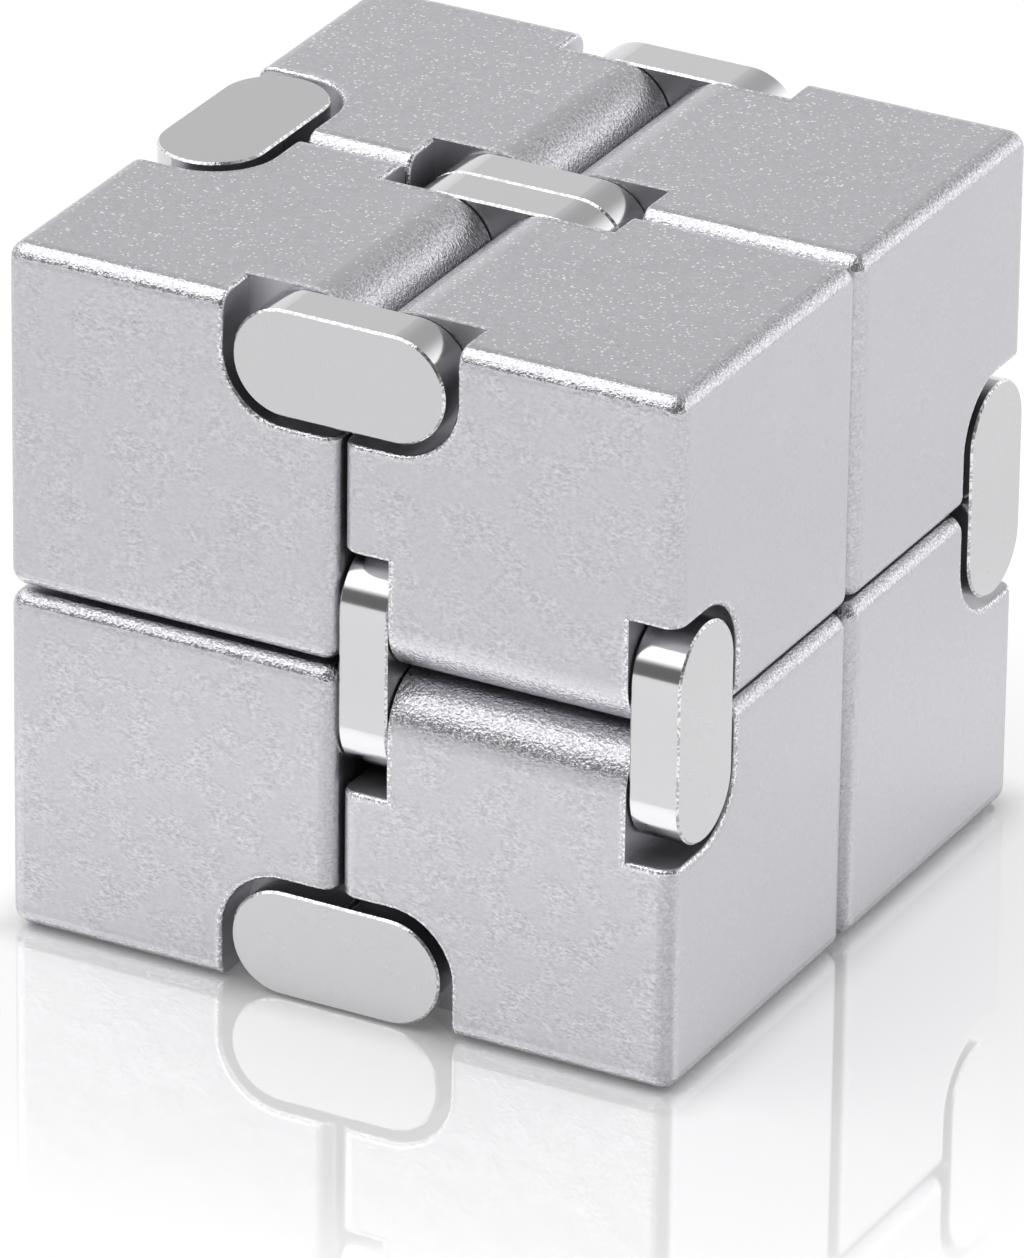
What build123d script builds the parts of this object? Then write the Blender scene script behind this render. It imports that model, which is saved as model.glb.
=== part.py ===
from build123d import *
import os

# A folding cube: eight metal blocks, joined in one closed ring by eight hinges.
# Each hinge is two round-ended link plates, one at each end of the shared edge,
# with two long pins pressed into both plates. One pin runs through each block.
# Frame: X to the right, Y to the back, Z up; the cube stands on Z = 0, centred in X and Y.

# The blocks
overall = 40.0              # edge of the closed cube, across two blocks and the gap
gap = 0.25                  # between the faces of two neighbouring blocks
edge_round = 1.0            # on every plain edge of a block
hinge_round = 3.1           # on the two hinge edges, round the pin's own centre

# The hinges
pin_radius = 1.25
bore_clearance = 0.04       # radial, so that a block turns on its pin
link_thickness = 2.9
link_inset = 0.05           # from a block's side face down to a link's straight side
link_face_clearance = 0.05  # left between two links that meet face to face
link_edge_break = 0.12      # chamfer round both faces of a link
pocket_clearance = 0.65     # round the rim of a link
pocket_floor_clearance = 0.1
pocket_rim_round = 0.25     # where a pocket opens in a block's end face
pin_seat = 1.8              # depth of a link's blind hole
pin_end_clearance = 0.1     # left at the bottom of that hole
pin_edge_break = 0.15

# Sizes that follow from those
side = (overall - gap) / 2
pitch = side + gap
pin_spacing = 2 * hinge_round + gap
link_radius = hinge_round - link_inset
link_proud = (gap - link_face_clearance) / 2
pocket_radius = link_radius + pocket_clearance
pocket_corner = (-pocket_radius, -pocket_radius)
pocket_width = pocket_radius + hinge_round + gap
pocket_depth = link_thickness - link_proud + pocket_floor_clearance
pin_start = gap / 2 - link_proud + link_thickness - pin_seat + pin_end_clearance
pin_length = overall / 2 + gap / 2 - 2 * pin_start
centre = Vector(0, 0, overall / 2 + link_proud)

right, back, up = Vector(1, 0, 0), Vector(0, 1, 0), Vector(0, 0, 1)
left, front, down = -right, -back, -up

# Each hinge by three directions: along its pins to the outside, to the face that its
# blocks fold together on, and across from its first block to its second.
hinges = {
    "top_front": (front, up, right),
    "top_back": (back, up, right),
    "bottom_front": (front, down, right),
    "bottom_back": (back, down, right),
    "left_top": (up, left, back),
    "left_bottom": (down, left, back),
    "front_right": (right, front, up),
    "back_right": (right, back, up),
}

# Each block by the three directions to its corner of the cube, with its two hinges
blocks = {
    "upper_left_front": (up + left + front, ("top_front", "left_top")),
    "upper_right_front": (up + right + front, ("top_front", "front_right")),
    "lower_right_front": (down + right + front, ("front_right", "bottom_front")),
    "lower_left_front": (down + left + front, ("bottom_front", "left_bottom")),
    "upper_left_back": (up + left + back, ("left_top", "top_back")),
    "upper_right_back": (up + right + back, ("top_back", "back_right")),
    "lower_right_back": (down + right + back, ("back_right", "bottom_back")),
    "lower_left_back": (down + left + back, ("bottom_back", "left_bottom")),
}

# The two pins of a hinge, named by where they stand along its third direction
pin_names = {
    "X": ("left", "right"),
    "Y": ("front", "back"),
    "Z": ("lower", "upper"),
}


def hinge_line(hinge, pin_side=0):
    """A point on a hinge's middle line, or on its first (-1) or second (1) pin's line."""
    out, face, across = hinges[hinge]
    return centre + face * (overall / 2 - hinge_round) + across * (pin_side * pin_spacing / 2)


def axis_letter(direction):
    """The letter of the axis that a direction runs along."""
    return "XYZ"[[abs(part) for part in direction].index(1)]


os.makedirs("parts", exist_ok=True)

# Blocks: solid cubes of aluminium. The two hinge edges are rounded about their pins,
# the others lightly. Both ends of a hinge edge are cut away to let the links swing.
for name, (corner, own_hinges) in blocks.items():
    middle = centre + corner * (pitch / 2)
    with BuildPart(Plane(middle)) as block:
        Box(side, side, side)
        for hinge in own_hinges:
            out, face, across = hinges[hinge]
            inward = across * -corner.dot(across)
            hinge_edge = block.edges().sort_by_distance(middle + (face + inward) * (side / 2))[0]
            fillet(hinge_edge, hinge_round)
        smooth = block.faces().filter_by(GeomType.CYLINDER).edges().filter_by(GeomType.LINE)
        fillet(block.edges() - smooth, edge_round)
        for hinge in own_hinges:
            out, face, across = hinges[hinge]
            pin_side = corner.dot(across)
            inward = across * -pin_side
            half_way = hinge_line(hinge, pin_side) + out * (pitch / 2)
            for away in (out, -out):
                end = Plane(half_way + away * (side / 2), x_dir=inward, z_dir=inward.cross(face))
                with BuildSketch(end) as pocket:
                    with Locations(pocket_corner):
                        Rectangle(pocket_width, pocket_width, align=(Align.MIN, Align.MIN))
                    fillet(pocket.vertices().sort_by_distance(pocket_corner)[0], pocket_radius)
                extrude(amount=pocket_depth, dir=-away, mode=Mode.SUBTRACT)
                rim = block.edges(Select.LAST).group_by(Axis(middle, away))[-1]
                fillet(rim, pocket_rim_round)
            with BuildSketch(Plane(half_way, z_dir=out)):
                Circle(pin_radius + bore_clearance)
            extrude(amount=side / 2, both=True, mode=Mode.SUBTRACT)
    block.part.label = f"block_{name}"
    export_step(block.part, f"parts/{block.part.label}.step")

for hinge, (out, face, across) in hinges.items():
    # Links: polished plates with half-round ends, blind-bored from their inner faces
    link_ends = {
        "outer": (overall / 2 + link_proud, out),
        "inner": (gap / 2 - link_proud, -out),
    }
    for end_name, (distance, away) in link_ends.items():
        outer_face = Plane(hinge_line(hinge) + out * distance, x_dir=across, z_dir=away)
        with BuildPart() as link:
            with BuildSketch(outer_face):
                SlotCenterToCenter(pin_spacing, 2 * link_radius)
            extrude(amount=-link_thickness)
            chamfer(link.edges(), link_edge_break)
            with BuildSketch(outer_face.offset(-link_thickness)):
                with Locations((-pin_spacing / 2, 0), (pin_spacing / 2, 0)):
                    Circle(pin_radius)
            extrude(amount=pin_seat, mode=Mode.SUBTRACT)
        link.part.label = f"{hinge}_link_{end_name}"
        export_step(link.part, f"parts/{link.part.label}.step")

    # Pins: plain steel rods, pressed into the blind holes of both links
    for pin_side, word in zip((-1, 1), pin_names[axis_letter(across)]):
        pin_end = Plane(hinge_line(hinge, pin_side) + out * pin_start, z_dir=out)
        with BuildPart() as pin:
            with BuildSketch(pin_end):
                Circle(pin_radius)
            extrude(amount=pin_length)
            chamfer(pin.edges().filter_by(GeomType.CIRCLE), pin_edge_break)
        pin.part.label = f"{hinge}_pin_{word}"
        export_step(pin.part, f"parts/{pin.part.label}.step")
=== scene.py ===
from math import cos, radians, sin

import bpy
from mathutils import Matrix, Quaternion, Vector


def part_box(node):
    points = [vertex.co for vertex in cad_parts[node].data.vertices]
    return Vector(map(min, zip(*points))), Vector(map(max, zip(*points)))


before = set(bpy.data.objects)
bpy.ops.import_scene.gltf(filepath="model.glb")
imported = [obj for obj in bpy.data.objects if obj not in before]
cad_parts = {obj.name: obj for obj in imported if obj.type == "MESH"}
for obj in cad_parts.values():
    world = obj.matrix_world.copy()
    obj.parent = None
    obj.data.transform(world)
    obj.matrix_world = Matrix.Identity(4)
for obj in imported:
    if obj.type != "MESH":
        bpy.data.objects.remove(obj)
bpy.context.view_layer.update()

MM = 0.001


# ---- The table it stands on ------------------------------------------------------------
# A sheet of white acrylic, much wider than the cube. It glows a little, as if lit from below,
# a little more where it is polished, and the glow fades out to a painted shadow just round and
# under the closed cube's footprint. It is polished where the cube stands, which mirrors the
# cube, and left matt further out.

class Shade:
    """One value inside a material. Sums on it add Math nodes, and node() adds any other."""

    def __init__(self, tree, socket=None):
        self.tree, self.socket = tree, socket

    def node(self, kind, settings=(), inputs=(), output=0):
        made = self.tree.nodes.new("ShaderNode" + kind)
        for name, value in dict(settings).items():
            setattr(made, name, value)
        for name, value in dict(inputs).items():
            if isinstance(value, Shade):
                self.tree.links.new(value.socket, made.inputs[name])
            else:
                made.inputs[name].default_value = value
        return Shade(self.tree, made.outputs[output])

    def math(self, operation, *values):
        return self.node("Math", {"operation": operation}, enumerate(values))

    def __add__(self, other):
        return self.math("ADD", self, other)

    def __radd__(self, other):
        return self.math("ADD", other, self)

    def __sub__(self, other):
        return self.math("SUBTRACT", self, other)

    def __rsub__(self, other):
        return self.math("SUBTRACT", other, self)

    def __mul__(self, other):
        return self.math("MULTIPLY", self, other)

    def __pow__(self, other):
        return self.math("POWER", self, other)

    def __abs__(self):
        return self.math("ABSOLUTE", self)

    def __lt__(self, other):
        return self.math("LESS_THAN", self, other)

    def __gt__(self, other):
        return self.math("GREATER_THAN", self, other)

    def lowest(self, other):
        return self.math("MINIMUM", self, other)

    def highest(self, other):
        return self.math("MAXIMUM", self, other)

    def between(self, low, high):
        """0 at low and below, 1 at high and above, and smooth between. low may be the larger."""
        inputs = {"Value": self, "From Min": low, "From Max": high}
        return self.node("MapRange", {"interpolation_type": "SMOOTHSTEP"}, inputs)

    def parts(self):
        return [self.node("SeparateXYZ", inputs={"Vector": self}, output=axis) for axis in "XYZ"]

    def times(self, vector):
        """A vector or colour, made as many times as large as this value."""
        return self.node("VectorMath", {"operation": "SCALE"}, {0: vector, "Scale": self})


def new_finish(name):
    """An empty material and a first Shade to build it from."""
    finish = bpy.data.materials.new(name)
    finish.use_nodes = True
    finish.node_tree.nodes.clear()
    return finish, Shade(finish.node_tree)


def put_on_surface(shade, surface):
    output = shade.tree.nodes.new("ShaderNodeOutputMaterial")
    shade.tree.links.new(surface.socket, output.inputs["Surface"])


table_finish, start = new_finish("white_acrylic")
x, y, z = start.node("TexCoord", output="Object").parts()
half_cube = 20 * MM
out_x = (abs(x) - half_cube).highest(0.0)
out_y = (abs(y) - half_cube).highest(0.0)
from_cube = (out_x ** 2.0 + out_y ** 2.0) ** 0.5
matt_from, polished_to = 35 * MM, 14 * MM
polished = from_cube.between(matt_from, polished_to)
# The glow is an emission. It is off under the closed cube's footprint and fades in over a few
# millimetres outside it: a painted contact shadow that stays in place whatever the pose.
painted_shadow_darkest_at, painted_shadow_gone_at = -1.5 * MM, 3 * MM
glow_with_painted_shadow = from_cube.between(painted_shadow_darkest_at, painted_shadow_gone_at) * (polished * 0.24 + 0.25)
matt = start.node("BsdfPrincipled", inputs={
    "Base Color": (0.82, 0.82, 0.82, 1), "Roughness": 0.6, "Specular IOR Level": 0.0,
    "Emission Color": glow_with_painted_shadow.times((1.0, 1.0, 1.0)), "Emission Strength": 1.0})
mirror = start.node("BsdfPrincipled", inputs={
    "Base Color": (0.95, 0.95, 0.95, 1), "Metallic": 1.0, "Roughness": 0.03})
most_mirror = 0.42
put_on_surface(start, start.node("MixShader", inputs={0: polished * most_mirror, 1: matt, 2: mirror}))

table_width = 3.0
bpy.ops.mesh.primitive_plane_add(size=table_width, location=(0, 0, 0))
table = bpy.context.object
table.name = "table"
table.data.materials.append(table_finish)


# ---- The blocks --------------------------------------------------------------------------
# Eight cubes of aluminium. Each was machined, blasted with fine beads until it had an even
# silver grain, and anodised clear. The pockets were cut after blasting, so they are bare.

def find_pockets(place):
    """Where the blocks are cut for the links: the bare walls, and the ragged rim round them."""
    low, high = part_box("block_upper_right_back")
    link_low, link_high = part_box("top_front_link_outer")
    half_gap, half, top = low.x / MM, high.x / MM, high.z / MM
    link_radius = (link_high.z - link_low.z) / 2 / MM
    pin_from_middle = link_high.x / MM - link_radius
    pin_from_face = top - link_high.z / MM + link_radius
    room_round_link, room_under_link = 0.65, 0.1
    radius = link_radius + room_round_link
    depth = half + link_high.y / MM + room_under_link
    rim_width, full_rim = 0.45, 0.1
    sliver = 0.02
    x, y, z = place.parts()
    wide, deep, height = abs(x), abs(y), abs(z - (top - half))

    def profile(across, down):
        side = (across - pin_from_middle).highest(0.0)
        under = (down - pin_from_face).highest(0.0)
        return (side ** 2.0 + under ** 2.0) ** 0.5 - radius

    def into(along):
        return (half - along).lowest(along - half_gap)

    pockets = (
        (profile(wide, half - height), into(deep), 1.0),
        (profile(deep, x + half), into(height), 1.0),
        (profile(height, half - deep), into(x), x > 0.0),
    )
    bare, rim = 0.0, 0.0
    for outside, inward, there in pockets:
        away = outside.highest(inward - depth)
        bare = bare + (away < sliver) * there
        rim = rim + away.between(rim_width, full_rim) * (away > sliver) * there
    return bare.lowest(1.0), rim.lowest(1.0)


def make_block_finish():
    finish, start = new_finish("blasted_aluminium")
    place = start.node("VectorMath", {"operation": "SCALE"}, {
        0: start.node("TexCoord", output="Object"), "Scale": 1 / MM})
    bare, rim = find_pockets(place)
    nx, ny, nz = [abs(part) for part in start.node("TexCoord", output="Normal").parts()]
    rounded = nx.highest(ny).highest(nz).between(0.99, 0.93)
    crust_and_painted_glint_spot = (rounded * (nz.between(0.0, 0.3) * 0.65 + 0.35)).highest(rim)
    # How strongly the grain shows, by facing: full on faces looking along Y, half on faces looking
    # up, less still along X. In the base colour the grain partly stands for painted shade in the
    # blast pits, set by how the light picks it out on each side. The same weights scale the grain's
    # bump.
    grain_contrast_by_facing = ny + nz * 0.5 + nx * 0.3

    # The grain: fine dashes drawn out sideways, stronger in some patches than in others.
    drawn = start.node("VectorMath", {"operation": "MULTIPLY"}, {0: place, 1: (0.7, 0.7, 1.2)})
    grain = start.node("TexNoise", inputs={
        "Vector": drawn, "Scale": 5.6, "Detail": 2.0, "Roughness": 0.6, "Distortion": 0.3})
    patch = start.node("TexNoise", inputs={"Vector": place, "Scale": 0.45, "Detail": 1.0})
    patchy = patch.between(0.35, 0.65) * 0.8 + 0.4
    cloud = start.node("TexNoise", inputs={"Vector": place, "Scale": 0.12, "Detail": 2.0})
    # The crust: a coarser bump on the rounded edges and round the pockets. Its speckle is also put
    # into the base colour as painted glints and shade, brighter on the whole, most on edges that look
    # up.
    speck_bump_and_painted_glints = start.node("TexNoise", inputs={
        "Vector": place, "Scale": 6.0, "Detail": 1.5, "Roughness": 0.6, "Distortion": 0.3})
    # Painted glints: a few single dots made brighter in the base colour, only on faces that look up,
    # standing for dents that catch the light.
    glint_cells = {"Vector": place, "Scale": 6.0}
    pick, glint_strength = start.node("TexVoronoi", inputs=glint_cells, output="Color").parts()[:2]
    glint_dot = start.node("TexVoronoi", inputs=glint_cells, output="Distance")
    few = 0.86
    painted_glint = (pick > few) * glint_dot.between(0.55, 0.4) * (glint_strength + 0.3) * nz.between(0.9, 0.99)

    blasted, machined = 0.56, 0.55
    # The - nx term makes faces looking along X a little darker: painted shade against the bright
    # table behind them that they mirror.
    shade = blasted + cloud * 0.03 - nx * 0.025 + (grain - 0.5) * grain_contrast_by_facing * patchy * 0.46
    # On the rounded edges the speckle lightens and darkens the base colour, brighter on average:
    # painted glints and painted shade. Round the pocket rims it only brightens: a painted highlight.
    shade = shade + (speck_bump_and_painted_glints.between(0.36, 0.64) - 0.42) * crust_and_painted_glint_spot * 0.2 + painted_glint * 0.4
    shade = shade + speck_bump_and_painted_glints.between(0.5, 0.62) * rim * 0.3
    shade = shade * (1.0 - bare) + bare * (machined + grain * 0.06)
    height = grain * grain_contrast_by_facing * patchy * 0.02 + speck_bump_and_painted_glints * crust_and_painted_glint_spot * 0.06
    height = height * (1.0 - bare) + bare * grain * 0.004
    bump = start.node("Bump", inputs={"Strength": 1.0, "Distance": MM, "Height": height})
    silver = (1.0, 0.987, 1.04)
    put_on_surface(start, start.node("BsdfPrincipled", inputs={
        "Base Color": shade.times(silver), "Metallic": 1.0,
        "Roughness": 0.34 - crust_and_painted_glint_spot * 0.07 + bare * 0.06, "Normal": bump}))
    return finish


block_finish = make_block_finish()
for name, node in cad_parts.items():
    if name.startswith("block"):
        node.data.materials[0] = block_finish


# ---- The links ---------------------------------------------------------------------------
# Round-ended plates, two to a hinge. Their rims are turned and polished like a mirror, and
# the flat faces are lapped to a smooth satin. The edge between them is left a little rough,
# and its colour is dotted lighter and darker as a painted glint along it.

def make_link_finish(along):
    """The finish of a link whose pins run along that axis: 0 for X, 1 for Y, 2 for Z."""
    finish, start = new_finish("polished_link_" + "xyz"[along])
    place = start.node("VectorMath", {"operation": "SCALE"}, {
        0: start.node("TexCoord", output="Object"), "Scale": 1 / MM})
    facing = abs(start.node("TexCoord", output="Normal").parts()[along])
    face = facing.between(0.9, 0.98)
    edge = facing.between(0.2, 0.5) * (1.0 - face)
    haze = start.node("TexNoise", inputs={"Vector": place, "Scale": 0.5, "Detail": 3.0})
    edge_nicks_and_painted_glints = start.node("TexNoise", inputs={"Vector": place, "Scale": 5.0, "Detail": 1.5})
    # On the edge the same noise also dots the base colour lighter and darker: a painted dotted
    # highlight, beside its real bump.
    shade = 0.66 + haze * 0.02 - face * 0.07 + (edge_nicks_and_painted_glints.between(0.42, 0.58) - 0.5) * edge * 0.4
    height = edge_nicks_and_painted_glints * edge * 0.03
    bump = start.node("Bump", inputs={"Strength": 1.0, "Distance": MM, "Height": height})
    put_on_surface(start, start.node("BsdfPrincipled", inputs={
        "Base Color": shade.times((1.0, 0.992, 1.012)), "Metallic": 1.0,
        "Roughness": 0.1 + haze * 0.06 + face * 0.15 + edge * 0.1, "Normal": bump}))
    return finish


link_finishes = [make_link_finish(along) for along in range(3)]
for name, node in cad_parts.items():
    if "_link_" in name:
        low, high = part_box(name)
        spans = list(high - low)
        node.data.materials[0] = link_finishes[spans.index(min(spans))]


# ---- The pins ----------------------------------------------------------------------------
# Ground steel rods pressed into the links at both ends. They hardly show.

pin_finish, start = new_finish("ground_steel")
place = start.node("VectorMath", {"operation": "SCALE"}, {
    0: start.node("TexCoord", output="Object"), "Scale": 1 / MM})
rings = start.node("TexNoise", inputs={"Vector": place, "Scale": 6.0, "Detail": 4.0})
put_on_surface(start, start.node("BsdfPrincipled", inputs={
    "Base Color": (0.55, 0.55, 0.56, 1), "Metallic": 1.0, "Roughness": 0.2 + rings * 0.15}))
for name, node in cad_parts.items():
    if "_pin_" in name:
        node.data.materials[0] = pin_finish


# ---- Light and camera --------------------------------------------------------------------
# A small studio, all of it round the cube and far off: a white sweep behind that is
# brightest low down and to the right, a wide soft box over the front left, and a dim room.

world = bpy.data.worlds.new("studio")
bpy.context.scene.world = world
world.use_nodes = True
world.node_tree.nodes.clear()
sky = Shade(world.node_tree)
x, y, z = sky.node("TexCoord", output="Generated").parts()
behind = y.between(-0.2, 0.3)
sweep = behind * (z.between(0.62, 0.25) * 0.5 + 0.32)
right_panel = behind * x.between(0.1, 0.5) * z.between(0.75, 0.5)
soft_box = (x * -0.45 + y * -0.25 + z * 0.86).between(0.72, 0.86)
glow = 0.18 + sweep + right_panel * 0.6 + soft_box * 1.7
background = sky.node("Background", inputs={"Color": (1.0, 1.0, 1.0, 1), "Strength": glow})
output = world.node_tree.nodes.new("ShaderNodeOutputWorld")
world.node_tree.links.new(background.socket, output.inputs["Surface"])

azimuth, elevation, roll = radians(28.0), radians(26.05), radians(0.74)
aim = Vector((0.9, -2.3, 15.2)) * MM
toward = Vector((sin(azimuth) * cos(elevation), -cos(azimuth) * cos(elevation), sin(elevation)))
camera_data = bpy.data.cameras.new("camera")
camera_data.sensor_width = 36.0
camera_data.lens = 349.8
camera = bpy.data.objects.new("camera", camera_data)
bpy.context.scene.collection.objects.link(camera)
camera.location = aim + toward * 653.6 * MM
camera.rotation_mode = "QUATERNION"
camera.rotation_quaternion = (-toward).to_track_quat("-Z", "Y") @ Quaternion((0, 0, 1), roll)
camera_data.clip_start, camera_data.clip_end = 0.01, 10.0
bpy.context.scene.camera = camera
bpy.context.scene.view_settings.view_transform = "Standard"
